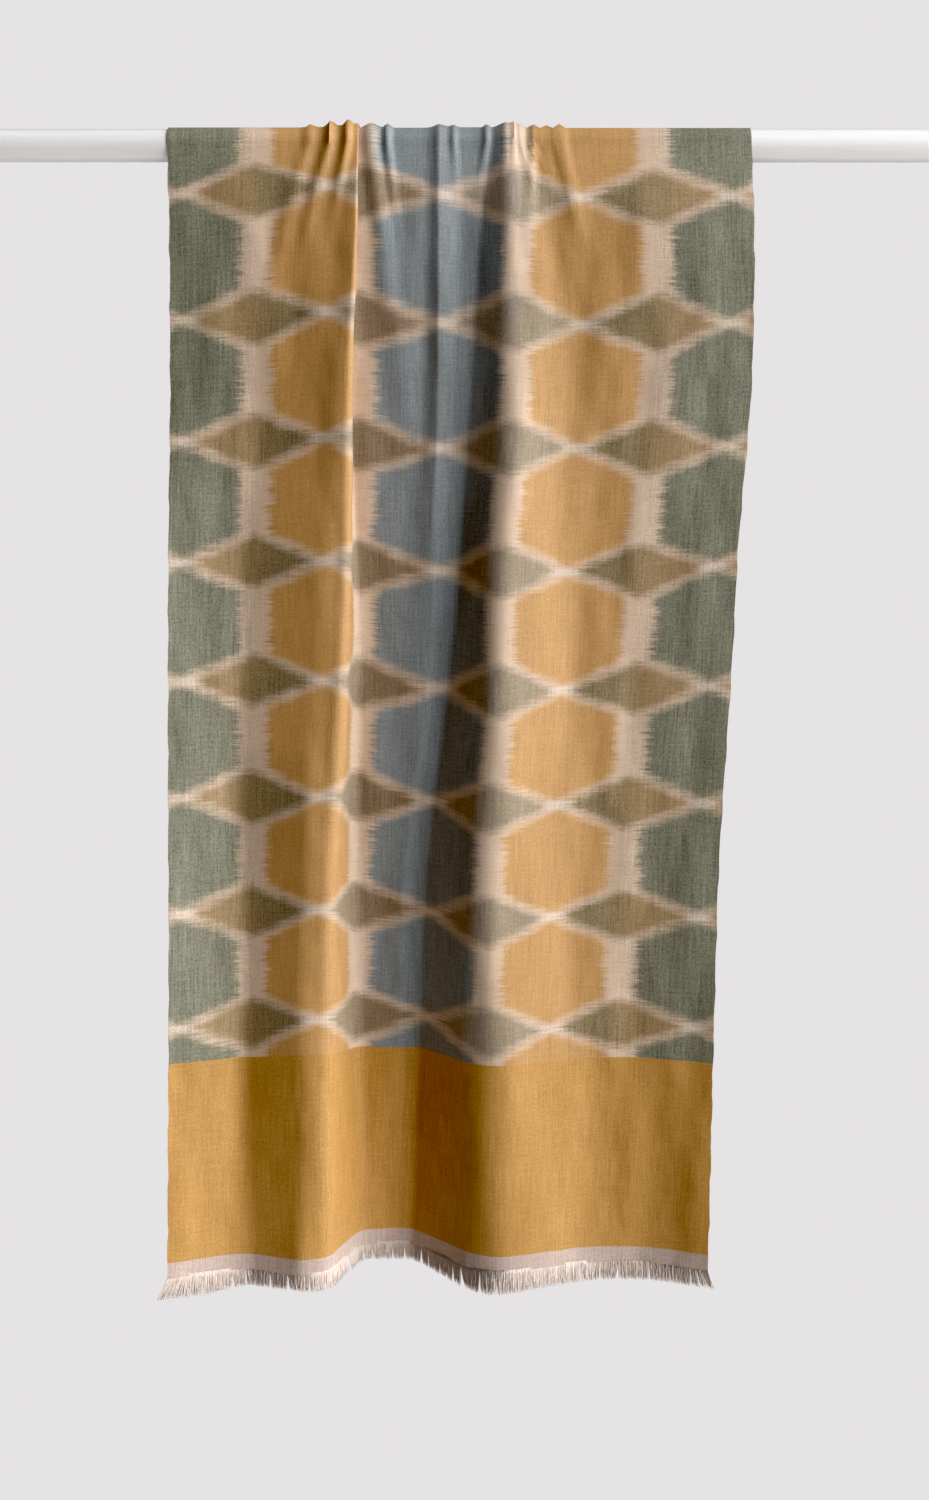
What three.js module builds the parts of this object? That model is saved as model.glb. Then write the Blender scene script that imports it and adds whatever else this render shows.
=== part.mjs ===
// A woven stole hung over a round rail, long end in front and short end behind.
// Millimetres, +Z up, front towards -Y. The origin is the middle of the rail's axis.
//
// The cloth is one piece of weaving, so every panel is cut from the same draped surface:
// `across` runs over the width of the flat cloth, from the left selvedge to the right one,
// and `along` runs with the warp from the crown of the rail, positive down the front.
import * as THREE from 'three';
import { mergeVertices } from 'three/addons/utils/BufferGeometryUtils.js';

// ---- driving dimensions -------------------------------------------------------------
const RAIL_DIAMETER = 35;
const RAIL_LENGTH = 1200;
const RAIL_CHAMFER = 2;

const CLOTH_WIDTH = 700;
const WOVEN_LENGTH = 2000;      // heading to heading, without the fringes
const WALL = 1.2;               // thickness of every cloth solid
const GAP = 0.3;                // clearance at seams and on the rail

const FRONT_FIELD_DROP = 1024;  // below the rail's axis, to the top of the plain band
const BAND_LENGTH = 230;
const HEADING_LENGTH = 18;
const FRINGE_LENGTH = 28;
const CORNER_FLARE = 11;        // how far the corner strands lean outwards at their tips
const CORNER_REACH = 45;        // width of cloth whose strands lean

const BACK_PACE = 1.3;          // the short end's folds open this much sooner

// ---- sizes that follow --------------------------------------------------------------
const RAIL_RADIUS = RAIL_DIAMETER / 2;
const SEAT_RADIUS = RAIL_RADIUS + GAP + WALL / 2;
const QUARTER_TURN = SEAT_RADIUS * Math.PI / 2;
const FRONT_LENGTH = QUARTER_TURN + FRONT_FIELD_DROP + BAND_LENGTH + HEADING_LENGTH;
const BACK_LENGTH = WOVEN_LENGTH - FRONT_LENGTH;
const BACK_FIELD_DROP = BACK_LENGTH - QUARTER_TURN - BAND_LENGTH - HEADING_LENGTH;

// ---- the folds ----------------------------------------------------------------------
// Heights below the rail's axis at which the fold tables are given.
const LEVELS = [0, 80, 240, 480, 850, 1270];

// One row for each fold line, in order across the cloth, each with a value at every level.
//   at:   its place across the flat cloth
//   turn: the width of cloth that bends there
//   lean: which way the cloth runs after it, in degrees;
//         0 runs straight to the right, 90 straight back, -90 straight forward
const FOLDS = {
  leftHollow: {
    at: [165, 156, 128, 78, 82, 90],
    turn: [30, 32, 36, 34, 30, 36],
    lean: [-5, -10, -16, -14, -22, -23],
  },
  leftShoulder: {
    at: [190, 186, 178, 172, 164, 158],
    turn: [20, 22, 24, 26, 24, 24],
    lean: [-6, -12, -15, -12, -2, 2],
  },
  pleatCrest: {
    at: [214, 213, 209, 206, 195, 189],
    turn: [4, 8, 18, 24, 30, 36],
    lean: [177, 163, 122, 92, 74, 62],
  },
  pleatHollow: {
    at: [234, 234, 237, 249, 254, 264],
    turn: [4, 6, 12, 18, 24, 28],
    lean: [0, -1, -4, -8, -8, 10],
  },
  ribFoot: {
    at: [332, 330, 328, 321, 296, 284],
    turn: [14, 14, 15, 16, 18, 18],
    lean: [-24, -26, -26, -14, -14, 12],
  },
  ribCrest: {
    at: [342, 342, 342, 338, 310, 298],
    turn: [5, 5, 6, 7, 8, 8],
    lean: [14, 10, 6, 4, 8, 14],
  },
  ribEase: {
    at: [357, 366, 362, 352, 320, 306],
    turn: [10, 10, 8, 6, 5, 5],
    lean: [0, 0, -2, 0, 4, 4],
  },
  deepHollow: {
    at: [406, 392, 380, 368, 336, 323],
    turn: [8, 12, 14, 14, 12, 14],
    lean: [-24, -34, -38, -51, -50, -46],
  },
  rightCrest: {
    at: [420, 425, 430, 431, 432, 448],
    turn: [8, 26, 40, 50, 62, 108],
    lean: [15, 13, 18, 21, 19, 17],
  },
  rightEase: {
    at: [445, 470, 492, 518, 538, 572],
    turn: [24, 26, 40, 50, 60, 60],
    lean: [0, -4, -3, -2, 0, -4],
  },
  rightHollow: {
    at: [600, 600, 605, 610, 612, 640],
    turn: [60, 60, 60, 60, 50, 50],
    lean: [0, 0, 0, -4, -8, -20],
  },
};
const FIRST_LEAN = [0, -4, -5, 8, 18, 20];               // before the first fold line
const LEFT_SELVEDGE_X = [-327, -327, -329, -331, -334, -338];
const HOLLOW_Y = [-SEAT_RADIUS, -14.5, -13.5, -12.5, -12, -11.5];   // the deepest hollow's Y

// Gathers too fine to build as folds shorten the cloth across, near the rail only.
const GATHERS = [
  { from: 140, to: 200, takeUp: 3, reach: 170 },
  { from: 360, to: 402, takeUp: 3, reach: 170 },
  { from: 427, to: 505, takeUp: 9, reach: 260 },
];

// How much lower each warp thread hangs than the middle one, at four heights.
const HANG = [
  { drop: 60,   lower: [-1, -5, -9, -4, 0, 4, 6, 6, 5] },
  { drop: 590,  lower: [-4, -4, -5, 1, 6, 6, 5, 3, 0] },
  { drop: 985,  lower: [2, 0, -11, -1, 0, 0, 0, -2, 0] },
  { drop: 1256, lower: [-2, -2, -5, -13, -10, -9, -12, -12, -11] },
];
const HANG_AT = [0, 90, 180, 262, 345, 440, 510, 600, 700];

// ---- interpolation ------------------------------------------------------------------
const clamp = (value, low, high) => Math.min(Math.max(value, low), high);

function smooth(t) {
  const k = clamp(t, 0, 1);
  return k * k * (3 - 2 * k);
}

// A smooth curve through the values, which never overshoots them.
function curveThrough(places, values, place) {
  const p = clamp(place, places[0], places[places.length - 1]);
  const steps = places.slice(1).map((next, i) => (values[i + 1] - values[i]) / (next - places[i]));
  const slopes = places.map((_, i) => {
    if (i === 0) return steps[0];
    if (i === places.length - 1) return steps[i - 1];
    const product = steps[i - 1] * steps[i];
    return product <= 0 ? 0 : 2 * product / (steps[i - 1] + steps[i]);
  });
  const i = Math.max(0, places.findIndex((next, k) => k > 0 && p <= next) - 1);
  const h = places[i + 1] - places[i];
  const t = (p - places[i]) / h;
  return (2 * t ** 3 - 3 * t ** 2 + 1) * values[i] + (t ** 3 - 2 * t ** 2 + t) * h * slopes[i]
    + (3 * t ** 2 - 2 * t ** 3) * values[i + 1] + (t ** 3 - t ** 2) * h * slopes[i + 1];
}

const atLevel = (values, drop) => curveThrough(LEVELS, values, drop);

function hangLower(across, drop) {
  const lower = HANG.map((row) => curveThrough(HANG_AT, row.lower, across));
  return curveThrough(HANG.map((row) => row.drop), lower, drop);
}

// ---- one level cross-section --------------------------------------------------------
function foldLinesAt(drop) {
  return Object.entries(FOLDS).map(([name, fold]) => ({
    name,
    at: atLevel(fold.at, drop),
    turn: atLevel(fold.turn, drop),
    lean: atLevel(fold.lean, drop),
  }));
}

function leanAt(across, drop, lines) {
  let before = atLevel(FIRST_LEAN, drop);
  let lean = before;
  for (const line of lines) {
    lean += (line.lean - before) * smooth((across - line.at) / line.turn + 0.5);
    before = line.lean;
  }
  return THREE.MathUtils.degToRad(lean);
}

// The share of the width that gathers take up here.
function takeUpAt(across, drop) {
  const gather = GATHERS.find(({ from, to }) => across > from && across < to);
  if (!gather) return 0;
  return gather.takeUp / (gather.to - gather.from) * clamp(1 - drop / gather.reach, 0, 1);
}

// Steps across the flat cloth and adds up where each step leads, so the woven width is kept.
const STEP = 0.5;
const sections = new Map();

function sectionAt(drop) {
  if (sections.has(drop)) return sections.get(drop);
  const lines = foldLinesAt(drop);
  const xs = [atLevel(LEFT_SELVEDGE_X, drop)];
  const ys = [0];
  for (let across = STEP / 2; across < CLOTH_WIDTH; across += STEP) {
    const lean = leanAt(across, drop, lines);
    xs.push(xs[xs.length - 1] + STEP * Math.cos(lean) * (1 - takeUpAt(across, drop)));
    ys.push(ys[ys.length - 1] + STEP * Math.sin(lean));
  }
  const shift = atLevel(HOLLOW_Y, drop) - Math.max(...ys);
  const section = { xs, ys: ys.map((y) => y + shift) };
  sections.set(drop, section);
  return section;
}

function pick(list, across) {
  const place = clamp(across / STEP, 0, list.length - 1);
  const i = Math.min(Math.floor(place), list.length - 2);
  return list[i] + (list[i + 1] - list[i]) * (place - i);
}

// ---- the draped surface -------------------------------------------------------------
// The middle of the cloth's thickness at a place on the flat cloth.
function drapedPoint(across, along) {
  const side = along < 0 ? -1 : 1;            // 1 in front, -1 behind
  const drop = Math.abs(along) - QUARTER_TURN;
  const pace = side < 0 ? BACK_PACE : 1;
  const section = sectionAt(Math.max(drop, 0) * pace);
  const x = pick(section.xs, across);
  const reach = -pick(section.ys, across);    // how far out from the rail's axis
  if (drop < 0) {
    const angle = along / SEAT_RADIUS;
    return new THREE.Vector3(x, -reach * Math.sin(angle), reach * Math.cos(angle));
  }
  const sag = hangLower(across, drop * pace) * smooth(drop / 60);
  return new THREE.Vector3(x, -side * reach, -drop - sag);
}

// Unit normal that points away from the rail's axis.
function drapedNormal(across, along) {
  const reachAcross = 0.4;
  const reachAlong = 2;
  const low = clamp(across - reachAcross, 0, CLOTH_WIDTH);
  const high = clamp(across + reachAcross, 0, CLOTH_WIDTH);
  const over = drapedPoint(high, along).sub(drapedPoint(low, along));
  const down = drapedPoint(across, along + reachAlong).sub(drapedPoint(across, along - reachAlong));
  return down.cross(over).normalize();
}

// ---- columns of points: they follow the fold lines down the cloth ----------------------
const TURN_PARTS = { pleatCrest: 5, pleatHollow: 5 };   // pieces in a sharp turn
const PLAIN_TURN_PARTS = 2;
const PANEL_WIDTH = 60;                                 // widest flat piece, about

function columnsAt(drop) {
  const columns = [0];
  let edge = 0;
  let edgeAtRail = 0;
  const addParts = (until, parts) => {
    for (let k = 1; k <= parts; k += 1) columns.push(edge + (until - edge) * k / parts);
    edge = until;
  };
  for (const line of foldLinesAt(drop)) {
    const fold = FOLDS[line.name];
    const startAtRail = fold.at[0] - fold.turn[0] / 2;
    const panelParts = Math.max(1, Math.round((startAtRail - edgeAtRail) / PANEL_WIDTH));
    addParts(line.at - line.turn / 2, panelParts);
    addParts(line.at + line.turn / 2, TURN_PARTS[line.name] ?? PLAIN_TURN_PARTS);
    edgeAtRail = startAtRail + fold.turn[0];
  }
  addParts(CLOTH_WIDTH, 2);
  return columns;
}

// ---- a cloth solid between two places along the warp ----------------------------------
function levelsBetween(from, to, longest) {
  const parts = Math.max(1, Math.ceil((to - from) / longest));
  return Array.from({ length: parts + 1 }, (_, k) => from + (to - from) * k / parts);
}

function clothWall(alongs, moved = (point) => point) {
  const rows = alongs.map((along) => {
    const drop = Math.max(Math.abs(along) - QUARTER_TURN, 0) * (along < 0 ? BACK_PACE : 1);
    return columnsAt(drop).map((across) => {
      const middle = moved(drapedPoint(across, along), across, along);
      const half = drapedNormal(across, along).multiplyScalar(WALL / 2);
      return [middle.clone().add(half), middle.clone().sub(half)];
    });
  });
  return closedWall(rows);
}

// rows[i][j] = [outer point, inner point]; rows run down the warp, columns to the right.
function closedWall(rows) {
  const positions = [];
  const triangle = (a, b, c) => positions.push(...a.toArray(), ...b.toArray(), ...c.toArray());
  const quad = (a, b, c, d) => {
    triangle(a, b, c);
    triangle(a, c, d);
  };
  const last = rows.length - 1;
  const end = rows[0].length - 1;
  for (let i = 0; i < last; i += 1) {
    for (let j = 0; j < end; j += 1) {
      quad(rows[i][j][0], rows[i + 1][j][0], rows[i + 1][j + 1][0], rows[i][j + 1][0]);
      quad(rows[i][j][1], rows[i][j + 1][1], rows[i + 1][j + 1][1], rows[i + 1][j][1]);
    }
    quad(rows[i][0][0], rows[i][0][1], rows[i + 1][0][1], rows[i + 1][0][0]);
    quad(rows[i][end][1], rows[i][end][0], rows[i + 1][end][0], rows[i + 1][end][1]);
  }
  for (let j = 0; j < end; j += 1) {
    quad(rows[0][j][1], rows[0][j][0], rows[0][j + 1][0], rows[0][j + 1][1]);
    quad(rows[last][j][0], rows[last][j][1], rows[last][j + 1][1], rows[last][j + 1][0]);
  }
  const geometry = new THREE.BufferGeometry();
  geometry.setAttribute('position', new THREE.Float32BufferAttribute(positions, 3));
  return mergeVertices(geometry, 1e-3);
}

// ---- the pieces -----------------------------------------------------------------------
const stole = new THREE.Group();

function addPiece(name, geometry, look) {
  const material = new THREE.MeshStandardMaterial({ metalness: 0, ...look });
  const piece = new THREE.Mesh(geometry, material);
  piece.name = name;
  stole.add(piece);
  return piece;
}

function railGeometry() {
  const half = RAIL_LENGTH / 2;
  const profile = [
    [0, -half], [RAIL_RADIUS - RAIL_CHAMFER, -half], [RAIL_RADIUS, -half + RAIL_CHAMFER],
    [RAIL_RADIUS, half - RAIL_CHAMFER], [RAIL_RADIUS - RAIL_CHAMFER, half], [0, half],
  ].map(([radius, length]) => new THREE.Vector2(radius, length));
  return new THREE.LatheGeometry(profile, 48).rotateZ(-Math.PI / 2);
}

const rail = { color: 0xf2f2f0, roughness: 0.45 };
const field = { color: 0x8f8466, roughness: 0.85, side: THREE.DoubleSide };
const band = { color: 0xc8963f, roughness: 0.8 };
const paleYarn = { color: 0xcdb8aa, roughness: 0.9 };

// Ends of the pieces along the warp, measured down either side from the crown.
const frontEnds = {
  field: QUARTER_TURN + FRONT_FIELD_DROP,
  band: QUARTER_TURN + FRONT_FIELD_DROP + BAND_LENGTH,
  heading: FRONT_LENGTH,
};
const backEnds = {
  field: QUARTER_TURN + BACK_FIELD_DROP,
  band: QUARTER_TURN + BACK_FIELD_DROP + BAND_LENGTH,
  heading: BACK_LENGTH,
};

// Near the rail the folds change quickly, so the levels lie closer there.
function fieldLevels(until) {
  const collar = [0, 12, 30, 55, 90, 135, 190, 255].map((drop) => QUARTER_TURN + drop);
  return [...collar, ...levelsBetween(collar[collar.length - 1], until, 110).slice(1)];
}

// Strands at the two corners lean outwards.
function flared(from) {
  return (point, across, along) => {
    const down = (Math.abs(along) - from) / FRINGE_LENGTH;
    const nearLeft = clamp(1 - across / CORNER_REACH, 0, 1);
    const nearRight = clamp(1 - (CLOTH_WIDTH - across) / CORNER_REACH, 0, 1);
    point.x += CORNER_FLARE * down * (0.6 * nearRight - nearLeft);
    return point;
  };
}

const mirrored = (alongs) => alongs.map((along) => -along).reverse();
const seam = GAP / 2;

addPiece('rail', railGeometry(), rail);
addPiece('field_over_rail', clothWall(levelsBetween(-QUARTER_TURN + seam, QUARTER_TURN - seam, 6)), field);

for (const [side, ends, turned] of [['front', frontEnds, (a) => a], ['back', backEnds, mirrored]]) {
  const fieldRows = fieldLevels(ends.field - seam);
  fieldRows[0] += seam;
  const bandRows = levelsBetween(ends.field + seam, ends.band - seam, 80);
  const headingRows = levelsBetween(ends.band + seam, ends.heading - seam, 30);
  const fringeRows = levelsBetween(ends.heading + seam, ends.heading + FRINGE_LENGTH, 30);
  addPiece(`field_${side}`, clothWall(turned(fieldRows)), field);
  addPiece(`band_${side}`, clothWall(turned(bandRows)), band);
  addPiece(`heading_${side}`, clothWall(turned(headingRows)), paleYarn);
  addPiece(`fringe_${side}`, clothWall(turned(fringeRows), flared(ends.heading)), paleYarn);
}

export default stole;
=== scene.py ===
# %% [markdown]
# # A stole over a rail
#
# The object is one length of ikat weaving, 70 cm wide and 2 m long, hung over a round white
# pole with its long end in front. The CAD frame holds the true sizes as plain solids. What a
# solid can't show is added here: thin cloth with its gathers and creases, the dyed lattice,
# the weave, and the loose threads at both ends.

# %% Load the frame
import math
import bpy
import numpy as np
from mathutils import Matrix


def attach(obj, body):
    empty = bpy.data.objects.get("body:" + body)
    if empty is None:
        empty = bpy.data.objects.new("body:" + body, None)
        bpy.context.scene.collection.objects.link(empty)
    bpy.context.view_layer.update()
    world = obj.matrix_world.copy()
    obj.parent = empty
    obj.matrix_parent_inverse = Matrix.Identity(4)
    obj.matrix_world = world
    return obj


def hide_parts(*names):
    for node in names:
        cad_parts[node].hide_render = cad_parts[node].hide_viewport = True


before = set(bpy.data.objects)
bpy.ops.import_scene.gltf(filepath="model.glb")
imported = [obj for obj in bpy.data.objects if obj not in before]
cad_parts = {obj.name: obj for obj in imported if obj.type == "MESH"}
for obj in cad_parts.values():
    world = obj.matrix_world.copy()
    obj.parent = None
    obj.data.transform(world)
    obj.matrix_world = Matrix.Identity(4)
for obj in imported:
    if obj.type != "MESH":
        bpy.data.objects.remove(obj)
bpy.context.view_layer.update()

print("CAD nodes:", sorted(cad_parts))

# %% [markdown]
# ## The camera
#
# The stole is seen square on, from 2 m in front of the rail and almost half a metre below it,
# with the lens tipped slightly down. That height is why the rail looks level while the hem
# curves: a fold that stands nearer the lens ends lower in the picture.

# %% Camera
CAMERA_PLACE = (0.0, -2.0, -0.447)
CAMERA_DOWN = math.radians(6.5)
SENSOR_MM = 36.0                # along the picture's long side
PICTURE_HEIGHT = 1500
FOCAL_LENGTH_PIXELS = 1745

lens = bpy.data.cameras.new("lens")
lens.sensor_width = SENSOR_MM
lens.lens = SENSOR_MM * FOCAL_LENGTH_PIXELS / PICTURE_HEIGHT
camera = bpy.data.objects.new("camera", lens)
camera.location = CAMERA_PLACE
camera.rotation_euler = (math.radians(90) - CAMERA_DOWN, 0.0, 0.0)
bpy.context.scene.collection.objects.link(camera)
bpy.context.scene.camera = camera
print("lens in mm:", round(lens.lens, 2))

# %% [markdown]
# ## The cloth's own measure
#
# Cloth can bend sharply but hardly stretches. So each place on it is named by where it lies
# on the flat weaving: `across` from the left selvedge, and `along` the warp from the crown of
# the rail, positive down the front. Draping is then one rule that turns (across, along) into
# a point in space, and the pattern can be dyed on the flat measure and follows every fold.

# %% Sizes, in millimetres
MM = 0.001                      # of a metre
RAIL_RADIUS = 17.5
RAIL_LENGTH = 1200.0
CLOTH_WIDTH = 700.0
WOVEN_LENGTH = 2000.0           # heading to heading
CLOTH_THICKNESS = 0.6
SEAT_RADIUS = 18.4              # from the rail's axis to the middle of the cloth
QUARTER_TURN = SEAT_RADIUS * math.pi / 2
FRONT_FIELD_DROP = 1024.0       # below the axis, to the top of the plain band
BAND_LENGTH = 230.0
HEADING_LENGTH = 18.0
BACK_PACE = 1.3                 # the short end's folds open this much sooner

FRONT_FIELD_END = QUARTER_TURN + FRONT_FIELD_DROP
FRONT_END = FRONT_FIELD_END + BAND_LENGTH + HEADING_LENGTH
BACK_END = FRONT_END - WOVEN_LENGTH
BACK_FIELD_END = BACK_END + BAND_LENGTH + HEADING_LENGTH
print("front end along the warp:", round(FRONT_END), "and back end:", round(BACK_END))

# %% [markdown]
# ## The folds
#
# A level cut through hanging cloth is a wavy line of fixed length. It is described by the way
# it leans after each fold line: 0 runs straight to the right, 90 straight back, -90 straight
# forward. Adding up short steps in those directions keeps the woven width, so a deep fold
# pulls the cloth narrower, as it does on a real rail.

# %% Fold table
LEVELS = [0, 80, 240, 480, 850, 1270]       # drops below the rail's axis

# at: place across the flat cloth, turn: width of cloth that bends there, lean: direction
# after the fold line. Each has one number for each level.
FOLDS = {
    "left_hollow": dict(at=[165, 156, 128, 78, 82, 90], turn=[30, 32, 36, 34, 30, 36],
                        lean=[-5, -10, -16, -14, -22, -23]),
    "left_shoulder": dict(at=[190, 186, 178, 172, 164, 158], turn=[20, 22, 24, 26, 24, 24],
                          lean=[-6, -12, -15, -12, -2, 2]),
    "pleat_crest": dict(at=[214, 213, 209, 206, 195, 189], turn=[4, 8, 18, 24, 30, 36],
                        lean=[177, 163, 122, 92, 74, 62]),
    "pleat_hollow": dict(at=[234, 234, 237, 249, 254, 264], turn=[4, 6, 12, 18, 24, 28],
                         lean=[0, -1, -4, -8, -8, 10]),
    "rib_foot": dict(at=[332, 330, 328, 321, 296, 284], turn=[14, 14, 15, 16, 18, 18],
                     lean=[-24, -26, -26, -14, -14, 12]),
    "rib_crest": dict(at=[342, 342, 342, 338, 310, 298], turn=[5, 5, 6, 7, 8, 8],
                      lean=[14, 10, 6, 4, 8, 14]),
    "rib_ease": dict(at=[357, 366, 362, 352, 320, 306], turn=[10, 10, 8, 6, 5, 5],
                     lean=[0, 0, -2, 0, 4, 4]),
    "deep_hollow": dict(at=[406, 392, 380, 368, 336, 323], turn=[8, 12, 14, 14, 12, 14],
                        lean=[-24, -34, -38, -51, -50, -46]),
    "right_crest": dict(at=[420, 425, 430, 431, 432, 448], turn=[8, 26, 40, 50, 62, 108],
                        lean=[15, 13, 18, 21, 19, 17]),
    "right_ease": dict(at=[445, 470, 492, 518, 538, 572], turn=[24, 26, 40, 50, 60, 60],
                       lean=[0, -4, -3, -2, 0, -4]),
    "right_hollow": dict(at=[600, 600, 605, 610, 612, 640], turn=[60, 60, 60, 60, 50, 50],
                         lean=[0, 0, 0, -4, -8, -20]),
}
FIRST_LEAN = [0, -4, -5, 8, 18, 20]           # before the first fold line
LEFT_SELVEDGE_X = [-327, -327, -329, -331, -334, -338]
HOLLOW_Y = [-SEAT_RADIUS, -14.5, -13.5, -12.5, -12, -11.5]     # the deepest hollow
print(len(FOLDS), "fold lines at", len(LEVELS), "levels")

# %% How evenly the cloth hangs
# How much lower each place across the cloth hangs than an even drop, at four drops.
HANG_AT = [0, 90, 180, 262, 345, 440, 510, 600, 700]
HANG_LOWER = {
    60: [-1, -5, -9, -4, 0, 4, 6, 6, 5],
    590: [-4, -4, -5, 1, 6, 6, 5, 3, 0],
    985: [2, 0, -11, -1, 0, 0, 0, -2, 0],
    1256: [-2, -2, -5, -13, -10, -9, -12, -12, -11],
}
HANG_EASE = 60.0                # the drop over which this unevenness starts
print("near the hem this comes to", np.ptp(HANG_LOWER[1256]), "mm across the cloth")

# %% [markdown]
# Where the cloth is bunched on the rail it stands up in small gathers that fan out and melt
# away below. Each is a soft ridge: `at` is its place across on the crown, `drift` is how far
# it wanders across for each millimetre down, and it is gone at `reach`. Bunching also takes up
# a little of the width between two places, which is let out again further down.

# %% Gathers on the rail
GATHERS = [
    dict(at=158, half_width=8, height=3.6, drift=-0.28, reach=260),
    dict(at=182, half_width=8, height=6.0, drift=-0.26, reach=170),
    dict(at=202, half_width=7, height=5.2, drift=-0.18, reach=130),
    dict(at=267, half_width=14, height=5.0, drift=0.12, reach=330),
    dict(at=285, half_width=7, height=4.2, drift=0.10, reach=130),
    dict(at=359, half_width=7, height=2.6, drift=0.06, reach=90),
    dict(at=398, half_width=6, height=3.2, drift=-0.20, reach=55),
    dict(at=429, half_width=5, height=2.8, drift=0.05, reach=60),
    dict(at=437, half_width=5, height=3.2, drift=0.35, reach=70),
    dict(at=454, half_width=6, height=4.4, drift=-0.05, reach=150),
    dict(at=471, half_width=5, height=3.0, drift=0.05, reach=65),
    dict(at=488, half_width=7, height=4.6, drift=0.22, reach=130),
]
TAKE_UP = [
    dict(start=140, end=200, width=3, reach=170),
    dict(start=360, end=402, width=3, reach=170),
    dict(start=427, end=505, width=9, reach=260),
]
GATHER_SPREAD = 0.7             # how much wider a gather is where it ends
GATHER_FADE = 1.5               # above 1 it sinks fast at first, and then slowly
print(len(GATHERS), "gathers take up", sum(zone["width"] for zone in TAKE_UP), "mm on the rail")


# %% Smooth curves through the tables
def smooth(t):
    """0 to 1 with a soft start and end."""
    k = np.clip(t, 0.0, 1.0)
    return k * k * (3.0 - 2.0 * k)


def curve_through(places, values, place):
    """A smooth curve through the values that never overshoots them."""
    places, values = np.asarray(places, float), np.asarray(values, float)
    place = np.clip(place, places[0], places[-1])
    steps = np.diff(values) / np.diff(places)
    slopes = np.concatenate([[steps[0]], np.zeros(len(places) - 2), [steps[-1]]])
    for k in range(1, len(places) - 1):
        product = steps[k - 1] * steps[k]
        if product > 0:
            slopes[k] = 2 * product / (steps[k - 1] + steps[k])
    i = np.clip(np.searchsorted(places, place) - 1, 0, len(places) - 2)
    width = places[i + 1] - places[i]
    t = (place - places[i]) / width
    start = (2 * t**3 - 3 * t**2 + 1) * values[i] + (t**3 - 2 * t**2 + t) * width * slopes[i]
    end = (3 * t**2 - 2 * t**3) * values[i + 1] + (t**3 - t**2) * width * slopes[i + 1]
    return start + end


def at_level(values, drop):
    return curve_through(LEVELS, values, drop)


print("the pleat leans back by", round(float(at_level(FOLDS["pleat_crest"]["lean"], 300))),
      "degrees 300 mm down")


# %% One level cut through the cloth
STEP = 0.5                      # millimetres of cloth
MIDS = np.arange(STEP / 2, CLOTH_WIDTH, STEP)


def lean_at(across, drop):
    """The direction of the cut at each place across, in degrees."""
    before = at_level(FIRST_LEAN, drop)
    lean = np.full(len(across), float(before))
    for fold in FOLDS.values():
        after = at_level(fold["lean"], drop)
        turned = smooth((across - at_level(fold["at"], drop)) / at_level(fold["turn"], drop) + 0.5)
        lean += (after - before) * turned
        before = after
    return lean


def share_taken_up(across, drop):
    """The share of the width that bunching takes up at each place across."""
    share = np.zeros(len(across))
    for zone in TAKE_UP:
        inside = (across > zone["start"]) & (across < zone["end"])
        near_rail = max(0.0, 1 - drop / zone["reach"])
        share += inside * zone["width"] / (zone["end"] - zone["start"]) * near_rail
    return share


def cut_at(drop):
    """Places across, and the x and y of the cut there."""
    lean = np.radians(lean_at(MIDS, drop))
    advance = np.cos(lean) * STEP * (1 - share_taken_up(MIDS, drop))
    x = at_level(LEFT_SELVEDGE_X, drop) + np.concatenate([[0], np.cumsum(advance)])
    y = np.concatenate([[0], np.cumsum(np.sin(lean)) * STEP])
    return np.arange(len(x)) * STEP, x, y + at_level(HOLLOW_Y, drop) - y.max()


for drop in (0, 400, 1200):
    _, x, y = cut_at(drop)
    print(f"{drop} mm down the cloth is {np.ptp(x):.0f} mm wide and {np.ptp(y):.0f} mm deep")


# %% The draped surface
def hang_lower(across, drop):
    """How much lower than an even drop the cloth hangs at each place across."""
    lower = [curve_through(HANG_AT, row, across) for row in HANG_LOWER.values()]
    drops = list(HANG_LOWER)
    drop = min(max(drop, drops[0]), drops[-1])
    table = np.array(lower)
    return np.array([curve_through(drops, table[:, k], drop) for k in range(table.shape[1])])


def draped_row(across, along):
    """The points of one weft thread: the middle of the cloth's thickness, in millimetres."""
    side = -1.0 if along < 0 else 1.0
    pace = BACK_PACE if along < 0 else 1.0
    drop = abs(along) - QUARTER_TURN
    places, x, y = cut_at(max(drop, 0.0) * pace)
    x = np.interp(across, places, x)
    reach = -np.interp(across, places, y)
    if drop < 0:
        angle = along / SEAT_RADIUS
        return np.stack([x, -reach * math.sin(angle), reach * math.cos(angle)], 1)
    sag = hang_lower(across, drop * pace) * smooth(drop / HANG_EASE)
    return np.stack([x, -side * reach, -drop - sag], 1)


hem_drops = -draped_row(np.linspace(0.0, CLOTH_WIDTH, 8), FRONT_END)[:, 2]
print("the front hem hangs", np.round(hem_drops).astype(int), "mm below the rail's axis")


# %% [markdown]
# ## The cloth sheet
#
# The sheet is a grid in the cloth's own measure. Its columns run down the folds, so a crease
# never cuts across a row of faces, and they lie close together where the cloth bends or is
# gathered. Rows lie closer near the rail and in the band at each end.

# %% Columns of the grid
TURN_PARTS = {"pleat_crest": 9, "pleat_hollow": 9, "rib_crest": 6, "deep_hollow": 8,
              "right_crest": 7}
PLAIN_TURN_PARTS = 5            # faces across every other bend
OPEN_SPACING = 8.0              # between columns where the cloth hangs plain
GATHERED_SPACING = 2.7
GATHERED_FROM, GATHERED_TO = 135, 505
SELVEDGE_COLUMNS = [1.0, 3.5]
BEND_SHARE = 0.85               # of each bend, where the columns crowd


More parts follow.
